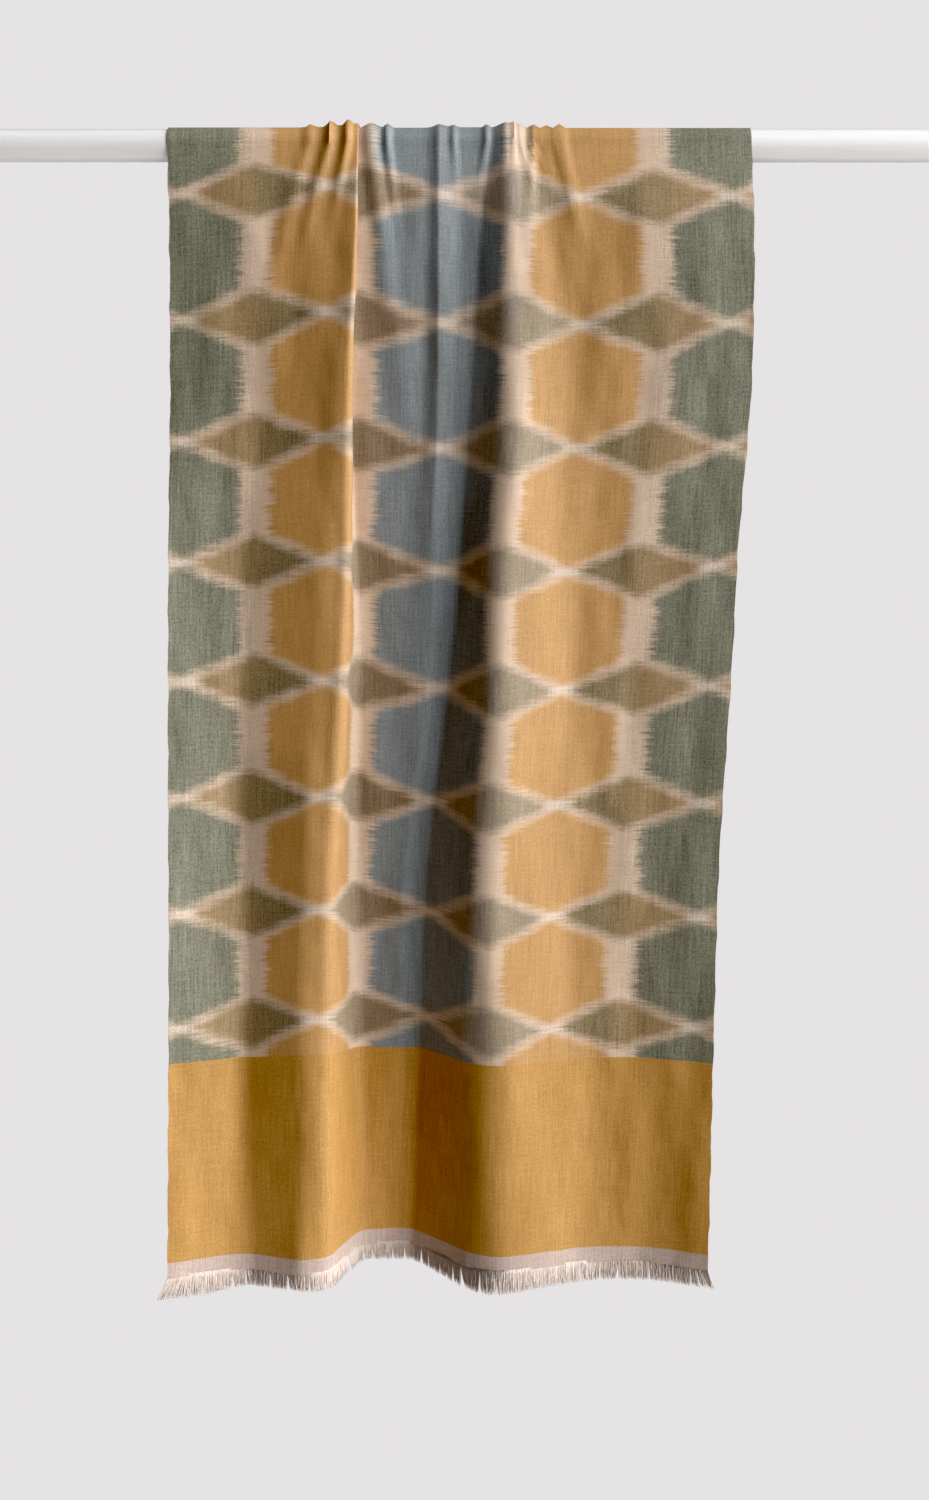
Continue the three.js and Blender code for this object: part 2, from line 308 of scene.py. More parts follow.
def fold_edges(drop):
    """Where each bend starts and ends, with the two selvedges."""
    edges = [0.0]
    for fold in FOLDS.values():
        middle = float(at_level(fold["at"], drop))
        half = float(at_level(fold["turn"], drop)) / 2 * BEND_SHARE
        edges += [middle - half, middle + half]
    return edges + [CLOTH_WIDTH]


def parts_between(start, end):
    """How many columns fit between two bends."""
    gathered = GATHERED_FROM < (start + end) / 2 < GATHERED_TO
    spacing = GATHERED_SPACING if gathered else OPEN_SPACING
    return max(1, round((end - start) / spacing))


def columns_on_rail():
    """Places across for the columns: close at the selvedges and in bends, open between them."""
    selvedge = [0.0] + SELVEDGE_COLUMNS
    names = list(FOLDS)
    edges = fold_edges(0)
    edges[0] = selvedge[-1]
    columns = list(selvedge)
    for k in range(len(edges) - 1):
        start, end = edges[k], edges[k + 1]
        in_bend = k % 2 == 1
        parts = TURN_PARTS.get(names[k // 2], PLAIN_TURN_PARTS) if in_bend else parts_between(start, end)
        columns += list(np.linspace(start, end, parts + 1)[1:])
    return np.array(columns[:-1] + [CLOTH_WIDTH - c for c in reversed(selvedge)])


COLUMNS = columns_on_rail()


def columns_at(along):
    """Where the columns lie on one row: they follow the fold lines as these wander."""
    drop = max(abs(along) - QUARTER_TURN, 0.0) * (BACK_PACE if along < 0 else 1.0)
    return np.interp(COLUMNS, fold_edges(0), fold_edges(drop))


print("columns lie", round(float(np.diff(COLUMNS).min()), 2), "mm apart at the closest")


# %% Rows of the grid
# Where each stretch of rows ends along the warp, and how far apart its rows are.
ROW_STRETCHES = [(BACK_FIELD_END, 12), (-QUARTER_TURN - 150, 15), (-QUARTER_TURN, 7), (0, 4),
                 (QUARTER_TURN, 3), (QUARTER_TURN + 190, 4.5), (FRONT_FIELD_END, 10.5),
                 (FRONT_END, 5.5)]


def rows_between(start, end, spacing):
    parts = max(1, round(abs(end - start) / spacing))
    return list(np.linspace(start, end, parts + 1)[1:])


ROWS = [BACK_END]
for end, spacing in ROW_STRETCHES:
    ROWS += rows_between(ROWS[-1], end, spacing)
print(len(COLUMNS), "columns by", len(ROWS), "rows")

# %% [markdown]
# No hung cloth is perfectly even. Long shallow waves run through it, the selvedges scallop a
# little, and some creases stay from folding. They are added after draping: creases, waves and
# gathers lift the cloth along its own normal, and scallops draw its edges in or out.

# %% Tables of creases, waves and scallops
# Each crease runs between two places (across, along) on the flat cloth.
CREASES = [
    dict(start=(214, 1110), end=(232, 1150), width=5, height=0.9),
    dict(start=(226, 1165), end=(252, 1225), width=6, height=1.2),
    dict(start=(16, 1222), end=(90, 1214), width=5, height=0.7),
    dict(start=(560, 1206), end=(640, 1214), width=6, height=0.6),
    dict(start=(500, 735), end=(570, 728), width=6, height=0.7),
    dict(start=(330, 1228), end=(352, 1250), width=5, height=0.8),
]
# Each wave: its height, its length across and along the cloth, and its phase.
WAVES = [(0.55, 83.0, 410.0, 0.3), (0.45, -61.0, 290.0, 1.7), (0.3, 37.0, 520.0, 2.9),
         (0.22, 140.0, 95.0, 4.1), (0.12, -33.0, 71.0, 0.9)]
WAVES_EASE = 90.0               # the drop over which they start
# Each scallop: how far it draws the edge, its length along the edge, and its phase.
SCALLOPS = [(0.25, 34.0, 0.4), (0.2, 21.0, 2.2), (0.5, 67.0, 1.1)]
SCALLOP_REACH = 7.0             # how far in from the edge threads move
SCALLOP_SLANT = 190.0           # shifts one edge's scallops against the other's
SCALLOPS_START, SCALLOPS_EASE = 20.0, 40.0      # along the warp, from the crown
print("creases:", len(CREASES), " waves:", len(WAVES), " scallops:", len(SCALLOPS))


# %% How they move the cloth
def crease_lift(across, along):
    """How far each crease lifts the cloth at these places."""
    lift = np.zeros_like(across)
    for crease in CREASES:
        start, end = np.array(crease["start"], float), np.array(crease["end"], float)
        run = end - start
        share = ((across - start[0]) * run[0] + (along - start[1]) * run[1]) / (run @ run)
        near = np.clip(share, 0, 1)
        gap = np.hypot(across - start[0] - near * run[0], along - start[1] - near * run[1])
        ridge = crease["height"] * np.exp(-(gap / crease["width"]) ** 2)
        lift += ridge * smooth(4 * near * (1 - near))
    return lift


def gather_lift(across, along):
    """How far each gather stands up, on the crown and below it on both sides."""
    drop = np.maximum(np.abs(along) - QUARTER_TURN, 0.0)
    lift = np.zeros_like(across)
    for gather in GATHERS:
        left = np.clip(1 - drop / gather["reach"], 0, 1)
        half = gather["half_width"] * (1 + GATHER_SPREAD - GATHER_SPREAD * left)
        place = np.clip((across - gather["at"] - gather["drift"] * drop) / half, -1, 1)
        lift += gather["height"] * left**GATHER_FADE * (1 + np.cos(math.pi * place)) / 2
    return lift


def wave_lift(across, along):
    """How far the waves lift the cloth. They leave it flat on the rail."""
    lift = np.zeros_like(across)
    for height, wide, long, phase in WAVES:
        lift += height * np.sin(2 * math.pi * (across / wide + along / long) + phase)
    clear_of_rail = smooth((np.abs(along) - QUARTER_TURN) / WAVES_EASE)
    return lift * clear_of_rail


def scallop(across, along):
    """How far the edge threads draw in or out."""
    edge = np.minimum(across, CLOTH_WIDTH - across)
    pull = sum(width * np.sin(2 * math.pi * along / long + phase + across / SCALLOP_SLANT)
               for width, long, phase in SCALLOPS)
    side = np.where(across < CLOTH_WIDTH / 2, -1.0, 1.0)
    below = smooth((np.abs(along) - SCALLOPS_START) / SCALLOPS_EASE)
    return side * pull * np.exp(-edge / SCALLOP_REACH) * below


print("a gather stands up to", max(gather["height"] for gather in GATHERS), "mm high")


# %% Make the grid's points
across = np.array([columns_at(along) for along in ROWS])
along = np.repeat(np.array(ROWS)[:, None], across.shape[1], 1)
points = np.array([draped_row(across[i], ROWS[i]) for i in range(len(ROWS))])
over = np.gradient(points, axis=1)
down = np.gradient(points, axis=0)
normals = np.cross(down, over)
normals /= np.linalg.norm(normals, axis=2, keepdims=True)
lift = crease_lift(across, along) + wave_lift(across, along) + gather_lift(across, along)
points += normals * lift[:, :, None]
points[:, :, 0] += scallop(across, along)
print("the cloth spans", np.round(np.ptp(points.reshape(-1, 3), axis=0)), "mm")


# %% [markdown]
# The cloth carries two UV maps. `flat_cloth` holds the place on the flat weaving, and
# `dye_lattice` counts the pattern: whole numbers are the middles of the dyed cells across, and
# the places where cell tips meet along. The pattern was tied by hand, so the counts are not
# quite even. The middle column came out wider, and the rows halfway down the front lie low,
# where the picks were beaten less close.

# %% Counting the pattern's columns and rows
COLUMN_PITCH = 165.6            # distances on the flat cloth, in millimetres
FIRST_COLUMN_AT = 14.0
MIDDLE_COLUMN = 2
MIDDLE_SWELL = 0.055            # of the pitch, on either side of the middle column
ROW_PITCH = 132.5
FIRST_ROW_AT = 86.0
LOW_ROWS = 7                    # rows that lie low, counted from the first
LOW_BY = 9.0


def column_count(across):
    even = (across - FIRST_COLUMN_AT) / COLUMN_PITCH
    beside_middle = np.clip(even - MIDDLE_COLUMN, -1, 1)
    return even - MIDDLE_SWELL * np.sin(math.pi * beside_middle)


def row_count(along):
    even = (along - FIRST_ROW_AT) / ROW_PITCH
    return even - LOW_BY / ROW_PITCH * np.sin(math.pi * np.clip(even / LOW_ROWS, 0, 1))


print("cells across:", round(float(column_count(CLOTH_WIDTH) - column_count(0.0)), 1))


# %% [markdown]
# The cloth could be hung by simulation, but it hangs still in long straight folds, and a table
# of fold lines gives each one its place. So the sheet is built from its grid points. Solidify
# then gives it its thickness, half to each side, and closes its edges.

# %% Helpers for new pieces
def deselect_all():
    for other in bpy.context.selected_objects:
        other.select_set(False)
    bpy.context.view_layer.objects.active = None


def select_only(piece):
    deselect_all()
    piece.select_set(True)
    bpy.context.view_layer.objects.active = piece


def apply_modifiers(piece):
    select_only(piece)
    for modifier in list(piece.modifiers):
        bpy.ops.object.modifier_apply(modifier=modifier.name)


def grid_faces(rows, columns):
    """Four-sided faces between the points of a grid that are counted row by row."""
    first = (np.arange(rows - 1)[:, None] * columns + np.arange(columns - 1)[None, :]).ravel()
    return np.stack([first, first + columns, first + columns + 1, first + 1], 1)


def new_piece(name, vertices_mm, faces):
    mesh = bpy.data.meshes.new(name)
    mesh.from_pydata((vertices_mm * MM).tolist(), [], [list(map(int, f)) for f in faces])
    mesh.shade_smooth()
    piece = bpy.data.objects.new(name, mesh)
    bpy.context.scene.collection.objects.link(piece)
    return piece


def add_map(piece, name, faces, first, second):
    """A UV map that holds two numbers of each grid point."""
    corners = faces.ravel()
    pairs = np.stack([first.ravel()[corners], second.ravel()[corners]], 1)
    piece.data.uv_layers.new(name=name).uv.foreach_set("vector", pairs.astype(np.float32).ravel())


deselect_all()
print("pieces still selected:", len(bpy.context.selected_objects))

# %% Build the cloth as a sheet, then give it its thickness
CLOTH_SHARP_ANGLE = 65          # edges sharper than this, in degrees, stay crisp
faces = grid_faces(*across.shape)
cloth = new_piece("stole_cloth", points.reshape(-1, 3), faces)
add_map(cloth, "flat_cloth", faces, across * MM, along * MM)
add_map(cloth, "dye_lattice", faces, column_count(across), row_count(along))

wall = cloth.modifiers.new("thickness", "SOLIDIFY")
wall.thickness = CLOTH_THICKNESS * MM
wall.offset = 0.0
apply_modifiers(cloth)
bpy.ops.object.shade_smooth_by_angle(angle=math.radians(CLOTH_SHARP_ANGLE))
print("cloth faces:", len(cloth.data.polygons))

# %% [markdown]
# ## The fringe
#
# The warp ends are left loose below each heading. There are thousands, so a single thread is
# a thin three-sided rod with few faces. Threads hang straight from the hem, and neighbours
# cling together in small locks whose tips lean the same way, which leaves the ragged gaps of
# a real fringe. At the corners the last threads swing outwards.

# %% Fringe measures, in millimetres
THREADS = 2600
THREAD_RADIUS = 0.4
THREAD_RINGS = 6
THREAD_TIP = [0.9, 0.5]         # shares of the radius at the last two rings
FRINGE_AT = [0, 40, 90, 150, 187, 258, 340, 434, 520, 620, 700]
FRINGE_LENGTHS = [25, 24, 19, 18, 20, 18, 20, 26, 22, 20, 21]
CORNER_REACH = 42.0
CORNER_FLARE = dict(left=13.0, right=7.0)
SET_IN = 2.5                    # how far each thread starts above the hem, inside the heading
FIRST_THREAD = 0.4              # from the selvedge
NEAREST_THREAD = 0.3
print(THREADS, "threads to", round(CLOTH_WIDTH / 10), "cm of hem")

# %% How much the threads differ, in millimetres
LOCK_WIDTHS = (4.0, 16.0)
LOCK_LEAN = 0.9
LOCK_PULL = (0.02, 0.22)        # share of the way to its lock's middle that a tip is pulled
STARTS_DIFFER = 0.25
TIPS_DIFFER = 0.5
LENGTHS_DIFFER = 0.05           # as a share of the length
DEPTHS_DIFFER = 0.45
WOBBLE = 0.25
LEAN_CURVE = 1.6                # above 1 a thread leaves the hem straight down
FLARE_CURVE = 1.2


def locks(maker):
    """The edges of the locks across the cloth, how each leans, and how tightly it clings."""
    edges = [0.0]
    while edges[-1] < CLOTH_WIDTH:
        edges.append(edges[-1] + maker.uniform(*LOCK_WIDTHS))
    leans = maker.normal(0.0, LOCK_LEAN, len(edges))
    pulls = maker.uniform(*LOCK_PULL, len(edges))
    return np.array(edges), leans, pulls


print("a hem has about", round(CLOTH_WIDTH / np.mean(LOCK_WIDTHS)), "locks")


# %% Where the threads run
def thread_starts(maker):
    """Places across the cloth where the threads leave it."""
    even = np.linspace(FIRST_THREAD, CLOTH_WIDTH - FIRST_THREAD, THREADS)
    starts = np.sort(even + maker.normal(0, STARTS_DIFFER, THREADS))
    return np.clip(starts, NEAREST_THREAD, CLOTH_WIDTH - NEAREST_THREAD)


def corner_flare(starts):
    """How far the last threads at each corner swing outwards."""
    left = CORNER_FLARE["left"] * smooth(1 - starts / CORNER_REACH)
    right = CORNER_FLARE["right"] * smooth(1 - (CLOTH_WIDTH - starts) / CORNER_REACH)
    return right - left


def thread_paths(end, maker):
    """One path per thread, as points of shape (threads, rings, 3)."""
    starts = thread_starts(maker)
    hem = draped_row(starts, end - math.copysign(SET_IN, end))
    edges, leans, pulls = locks(maker)
    lock = np.clip(np.searchsorted(edges, starts) - 1, 0, len(edges) - 2)
    middle = (edges[lock] + edges[lock + 1]) / 2
    toward = (middle - starts) * pulls[lock] + leans[lock] + maker.normal(0, TIPS_DIFFER, THREADS)
    length = curve_through(FRINGE_AT, FRINGE_LENGTHS, starts)
    length = length * maker.normal(1.0, LENGTHS_DIFFER, THREADS)
    depth = maker.normal(0, DEPTHS_DIFFER, THREADS)
    wobble = maker.normal(0, WOBBLE, (THREADS, THREAD_RINGS))
    share = np.linspace(0, 1, THREAD_RINGS)[None, :]
    flare = corner_flare(starts)[:, None] * share**FLARE_CURVE
    x = hem[:, :1] + toward[:, None] * share**LEAN_CURVE + flare
    y = hem[:, 1:2] + depth[:, None] * share + wobble * share
    z = hem[:, 2:3] - (length[:, None] + SET_IN) * share
    return np.stack([x, y, z], 2)


def thread_mesh(paths):
    """Three-sided rods along the paths, closed at both ends."""
    threads, rings, _ = paths.shape
    radius = THREAD_RADIUS * np.array([1.0] * (rings - len(THREAD_TIP)) + THREAD_TIP)
    faces = []
    corner = np.radians([90, 210, 330])
    ring = np.stack([np.cos(corner), np.sin(corner), np.zeros(3)], 1)
    vertices = paths[:, :, None, :] + ring[None, None, :, :] * radius[None, :, None, None]
    for t in range(threads):
        first = t * rings * 3
        for r in range(rings - 1):
            low = first + r * 3
            for c in range(3):
                n = (c + 1) % 3
                faces.append((low + c, low + 3 + c, low + 3 + n, low + n))
        faces.append((first, first + 1, first + 2))
        last = first + (rings - 1) * 3
        faces.append((last, last + 2, last + 1))
    return vertices.reshape(-1, 3), faces


# %% Hang the fringes
FRONT_SEED, BACK_SEED = 11, 12


def hang_fringe(name, end, seed):
    maker = np.random.default_rng(seed)
    vertices, faces = thread_mesh(thread_paths(end, maker))
    fringe = new_piece(name, vertices, faces)
    tint = fringe.data.attributes.new("thread_tint", "FLOAT", "POINT")
    each = np.repeat(maker.uniform(0, 1, THREADS), THREAD_RINGS * 3)
    tint.data.foreach_set("value", each.astype(np.float32))
    print(name, "has", len(fringe.data.polygons), "faces")
    return fringe


front_fringe = hang_fringe("fringe_threads_front", FRONT_END, FRONT_SEED)
back_fringe = hang_fringe("fringe_threads_back", BACK_END, BACK_SEED)

# %% [markdown]
# ## The rail
#
# The pole is turned wood with a few coats of white paint. A cylinder is added at its size,
# its rims are softened with a bevel, and a shallow step is inset into each end.

# %% Rail: turned, with rounded rims
RAIL_SIDES = 96
RIM_ROUNDING = 2.0
deselect_all()
bpy.ops.mesh.primitive_cylinder_add(vertices=RAIL_SIDES, radius=RAIL_RADIUS * MM,
                                    depth=RAIL_LENGTH * MM, rotation=(0, math.radians(90), 0))
pole = bpy.context.active_object
pole.name = pole.data.name = "painted_rail"
bpy.ops.object.transform_apply(location=True, rotation=True, scale=True)
bpy.ops.object.mode_set(mode="EDIT")
bpy.ops.mesh.select_all(action="DESELECT")
bpy.ops.object.mode_set(mode="OBJECT")
for edge in pole.data.edges:
    first, second = (pole.data.vertices[v].co.x for v in edge.vertices)
    edge.select = abs(first - second) < 1e-6
bpy.ops.object.mode_set(mode="EDIT")
bpy.ops.mesh.bevel(offset=RIM_ROUNDING * MM, segments=4, profile=0.5, affect="EDGES")
bpy.ops.mesh.select_all(action="DESELECT")
bpy.ops.object.mode_set(mode="OBJECT")
print("rail faces with rounded rims:", len(pole.data.polygons))

# %% Rail: the step in each end
END_STEP_IN = 3.0
END_STEP_DEEP = 0.3
RAIL_SHARP_ANGLE = 30
for face in pole.data.polygons:
    face.select = abs(face.normal.x) > 0.999
bpy.ops.object.mode_set(mode="EDIT")
bpy.ops.mesh.select_mode(type="FACE")
bpy.ops.mesh.inset(thickness=END_STEP_IN * MM, depth=-END_STEP_DEEP * MM)
bpy.ops.object.mode_set(mode="OBJECT")
bpy.ops.object.shade_smooth_by_angle(angle=math.radians(RAIL_SHARP_ANGLE))
print("rail faces:", len(pole.data.polygons))


# %% [markdown]
# ## Materials
#
# A material is a small sum of pattern, colour and relief. To keep the sums readable, a value
# in the node tree is wrapped in a class, so that `1 - mask` adds its Math node by itself.

# %% Values that can be written as sums
class Value:
    """A number that varies over a surface."""

    def __init__(self, look, socket):
        self.look, self.socket = look, socket

    def maths(self, operation, *inputs):
        return self.look.add("ShaderNodeMath", {"operation": operation}, dict(enumerate(inputs)))

    def __add__(self, other):
        return self.maths("ADD", self, other)

    def __sub__(self, other):
        return self.maths("SUBTRACT", self, other)

    def __rsub__(self, other):
        return self.maths("SUBTRACT", other, self)

    def __mul__(self, other):
        return self.maths("MULTIPLY", self, other)

    def __truediv__(self, other):
        return self.maths("DIVIDE", self, other)

    __radd__ = __add__
    __rmul__ = __mul__

    def size(self):
        return self.maths("ABSOLUTE", self)

    def sine(self):
        return self.maths("SINE", self)

    def nearest(self, spacing):
        """How far this is from the nearest whole number of spacings, either way."""
        return self.maths("PINGPONG", self / spacing, 0.5) * spacing

    def rise(self, start, end):
        """0 below start and 1 above end, with soft ends. With start above end it falls."""
        return self.look.add("ShaderNodeMapRange", {"interpolation_type": "SMOOTHSTEP"},
                             {"Value": self, "From Min": start, "From Max": end})


print("reflected sums:", [name for name in vars(Value) if name.startswith("__r")])


# %% A material that is built up node by node
class Look:
    """A material whose nodes are added one after another."""

    def __init__(self, name, **fixed):
        self.material = bpy.data.materials.new(name)
        self.material.use_nodes = True
        self.tree = self.material.node_tree
        self.shader = self.tree.nodes["Principled BSDF"]
        for socket, value in fixed.items():
            self.shader.inputs[socket.replace("_", " ")].default_value = value

    def add(self, kind, settings=None, sockets=None, output=0):
        node = self.tree.nodes.new(kind)
        for setting, value in (settings or {}).items():
            if setting == "stops":
                self.set_stops(node.color_ramp, value)
            else:
                setattr(node, setting, value)
        for socket, value in (sockets or {}).items():
            self.feed(node.inputs[socket], value)
        return Value(self, node.outputs[output])

    def set_stops(self, ramp, stops):
        while len(ramp.elements) < len(stops):
            ramp.elements.new(1.0)
        for element, (place, colour) in zip(ramp.elements, stops):
            element.position = place
            element.color = colour

    def feed(self, socket, value):
        if isinstance(value, Value):
            self.tree.links.new(value.socket, socket)
        else:
            socket.default_value = value

    def mix(self, share, first, second, way="MIX"):
        """Colours go from the first to the second as share goes from 0 to 1."""
        return self.add("ShaderNodeMix", {"data_type": "RGBA", "blend_type": way},
                        {0: share, 6: first, 7: second}, output=2)

    def point(self, x, y, z=0.0):
        return self.add("ShaderNodeCombineXYZ", None, {0: x, 1: y, 2: z})

    def parts(self, vector):
        """The x and the y of a vector."""
        x = self.add("ShaderNodeSeparateXYZ", None, {0: vector})
        return x, Value(self, x.socket.node.outputs[1])

    def noise(self, place, scale=1.0, detail=2.0, roughness=0.5):
        """Soft noise around 0, about -0.5 to 0.5, at a point."""
        return self.add("ShaderNodeTexNoise", {"noise_dimensions": "3D"},
                        {"Vector": place, "Scale": scale, "Detail": detail,
                         "Roughness": roughness}) - 0.5

    def finish(self, piece, **varying):
        for socket, value in varying.items():
            self.feed(self.shader.inputs[socket.replace("_", " ")], value)
        piece.data.materials.clear()
        piece.data.materials.append(self.material)


def srgb(red, green, blue):
    """A colour given as on a paint chart, 0 to 255, as Blender's linear colour."""
    parts = [c / 255 for c in (red, green, blue)]
    return tuple(c / 12.92 if c <= 0.04045 else ((c + 0.055) / 1.055) ** 2.4 for c in parts) + (1.0,)


print("half grey as light:", round(srgb(128, 128, 128)[0], 3))

# %% [markdown]
# ## The dyed lattice
#
# Weft ikat is dyed before it is woven. The weft is tied and dyed in the pattern, and as it
# goes through the shed each pick lands a few millimetres off, so every edge of the pattern
# feathers sideways and stays crisp up and down. The lattice itself is a very old one:
# columns of six-sided cells with a lozenge between each pair.

# %% Lattice measures, in millimetres, and dyes
LINE_SLOPE = 0.41               # of the pale lines, up and down
LINE_HALF_HEIGHT = 6.5
LINE_SOFTNESS = 5.0
CELL_SOFTNESS = 3.0
CELL_HALF_WIDTH = 0.395 * COLUMN_PITCH
BAR_SOFTNESS = 6.5
TIP_SPOT_WIDTH = (24.0, 6.0)    # where the bare spot between cell tips starts and is full
TIP_SPOT_HEIGHT = (7.0, 2.0)
TIP_SPOT_STRENGTH = 0.45


def dye(red, green, blue, uneven):
    """A dye's colour, and in its fourth place how unevenly it took, from 0 to 1."""
    return srgb(red, green, blue)[:3] + (uneven,)


DYES = dict(
    green=dye(133, 132, 115, 0.85), gold=dye(195, 152, 102, 0.34), blue=dye(140, 146, 148, 0.48),
    olive=dye(142, 126, 98, 0.70), brown=dye(146, 127, 107, 0.55), honey=dye(164, 140, 108, 0.60),
    # Grey-brown, right of the blue column: partly dye, partly painted light lifting the fold's shade
    sage=dye(160, 144, 122, 0.50), ash_with_painted_light=dye(156, 144, 130, 0.50),
)
PALE = srgb(216, 192, 170)
UNDYED = srgb(236, 222, 208)
print("dyes:", ", ".join(DYES))

# %% Cloth: where on the weaving a point lies
CLOTH_ROUGHNESS = 0.60
silk = Look("ikat_silk", Roughness=CLOTH_ROUGHNESS, Sheen_Weight=0.12, Sheen_Roughness=0.4)
flat_place = silk.parts(silk.add("ShaderNodeUVMap", {"uv_map": "flat_cloth"}))
acr, aln = flat_place[0] * 1000, flat_place[1] * 1000
column, row = silk.parts(silk.add("ShaderNodeUVMap", {"uv_map": "dye_lattice"}))


def cloth_noise(across_pace, along_pace, layer, **kind):
    """Noise that changes at these paces for each millimetre. Each use has a layer of its own."""
    return silk.noise(silk.point(acr * across_pace, aln * along_pace, layer), **kind)


# %% Cloth: dyed picks that landed off their place
PICK_SHIFT = 40                 # millimetres across, for one pick
GROUP_SHIFT = 12                # for a few picks that were tied together
SLOW_SHIFT = 9                  # for a hand's width of cloth
ROW_SHIFT = 11                  # millimetres along
pick_shift = cloth_noise(0.012, 0.42, 0.0, detail=3.0, roughness=0.9) * PICK_SHIFT
group_shift = cloth_noise(0.013, 0.14, 7.0, detail=1.0) * GROUP_SHIFT
slow_shift = cloth_noise(0.008, 0.012, 3.0) * SLOW_SHIFT
dyed_column = column + (pick_shift + group_shift + slow_shift) / COLUMN_PITCH
dyed_row = row + cloth_noise(0.011, 0.012, 5.0) * ROW_SHIFT / ROW_PITCH
print("nodes for the shifts:", len(silk.tree.nodes))

# %% Cloth: cells, lozenges and the pale lines and bars between them
LINE_STRENGTH, LINE_PATCHY, LINE_BY_PICK = 0.56, 0.8, 1.5
BAR_STRENGTH, BAR_PATCHY, BAR_BY_PICK = 0.93, 0.2, 0.5
from_column = dyed_column.nearest(1.0) * COLUMN_PITCH
from_tip = dyed_row.nearest(1.0) * ROW_PITCH
above_line = from_tip - from_column * LINE_SLOPE
in_cell = above_line.rise(-CELL_SOFTNESS, CELL_SOFTNESS)
line = above_line.size().rise(LINE_HALF_HEIGHT + LINE_SOFTNESS, LINE_HALF_HEIGHT - LINE_SOFTNESS)
bar = from_column.rise(CELL_HALF_WIDTH - BAR_SOFTNESS, CELL_HALF_WIDTH + BAR_SOFTNESS) * in_cell
patchy = cloth_noise(0.020, 0.045, 13.0)
by_pick = cloth_noise(0.030, 0.40, 15.0, roughness=0.7)
line_strength = LINE_STRENGTH + patchy * LINE_PATCHY + by_pick * LINE_BY_PICK
bar_strength = BAR_STRENGTH + patchy * BAR_PATCHY + by_pick * BAR_BY_PICK
paleness = 1 - (1 - line * line_strength) * (1 - bar * bar_strength)
tip_spot = from_column.rise(*TIP_SPOT_WIDTH) * from_tip.rise(*TIP_SPOT_HEIGHT)
print("half width of a cell:", round(CELL_HALF_WIDTH, 1), "mm")

# %% Cloth: which dye each column of cells and each lozenge takes
# Each stop has its place in the count of columns. A cell keeps one dye. A lozenge lies between
# two columns of cells and goes from one dye to the next.
COLUMNS_IN_RAMP = 4.0
CELL_DYES = [(0.0, "green"), (0.5, "gold"), (1.5, "blue"), (2.5, "gold"), (3.5, "green")]
# The grey-brown stops from 2.10 to 2.44 lie in the deep fold's shade and carry painted light there.
LOZENGE_DYES = [(0.40, "honey"), (0.64, "olive"), (1.0, "olive"), (1.05, "sage"), (1.42, "sage"),
                (1.56, "brown"), (1.92, "brown"), (2.10, "ash_with_painted_light"), (2.44, "ash_with_painted_light"), (2.58, "sage"),
                (2.95, "sage"), (3.0, "olive"), (3.36, "olive"), (3.60, "honey")]


def dye_ramp(dyes):
    stops = [(count / COLUMNS_IN_RAMP, DYES[name]) for count, name in dyes]
    return silk.add("ShaderNodeValToRGB", {"stops": stops}, {0: dyed_column / COLUMNS_IN_RAMP})


cell_dye = dye_ramp(CELL_DYES)
cell_dye.socket.node.color_ramp.interpolation = "CONSTANT"
lozenge_dye = dye_ramp(LOZENGE_DYES)
cell_uneven = Value(silk, cell_dye.socket.node.outputs[1])
lozenge_uneven = Value(silk, lozenge_dye.socket.node.outputs[1])
dyed = silk.mix(in_cell, lozenge_dye, cell_dye)
dyed = silk.mix(paleness, dyed, PALE)
dyed = silk.mix(tip_spot * TIP_SPOT_STRENGTH, dyed, UNDYED)
uneven = (lozenge_uneven + (cell_uneven - lozenge_uneven) * in_cell) * (1 - paleness * 0.5)
print("nodes for the lattice:", len(silk.tree.nodes))

# %% [markdown]
# Below the lattice each end has a plain gold band, then a pale heading with no gold weft.
# Both ends mirror each other, so one distance from the middle of the length marks them all.

# %% Cloth: band and heading
BAND_GOLD = srgb(193, 148, 88)
BAND_UNEVEN = 0.42
BAND_SOFTNESS = 0.4             # millimetres either side of the band's first pick
HEADING = srgb(200, 180, 168)
HEADING_SOFTNESS = 0.5
RAGGED_BY = 1.2                 # how far the gold weft runs on between the warp threads
MIDDLE_ALONG = (FRONT_END + BACK_END) / 2
HEADING_START = WOVEN_LENGTH / 2 - HEADING_LENGTH
BAND_START = HEADING_START - BAND_LENGTH
from_middle = (aln - MIDDLE_ALONG).size()
ragged = silk.noise(silk.point(acr * 0.6, 0.0, 9.0)) * RAGGED_BY
band = from_middle.rise(BAND_START - BAND_SOFTNESS, BAND_START + BAND_SOFTNESS)
heading = (from_middle + ragged).rise(HEADING_START - HEADING_SOFTNESS,
                                      HEADING_START + HEADING_SOFTNESS)
dyed = silk.mix(band, dyed, BAND_GOLD)
dyed = silk.mix(heading, dyed, HEADING)
uneven = uneven + (BAND_UNEVEN - uneven) * band
print("the bands start", round(BAND_START), "mm from the middle of the cloth")
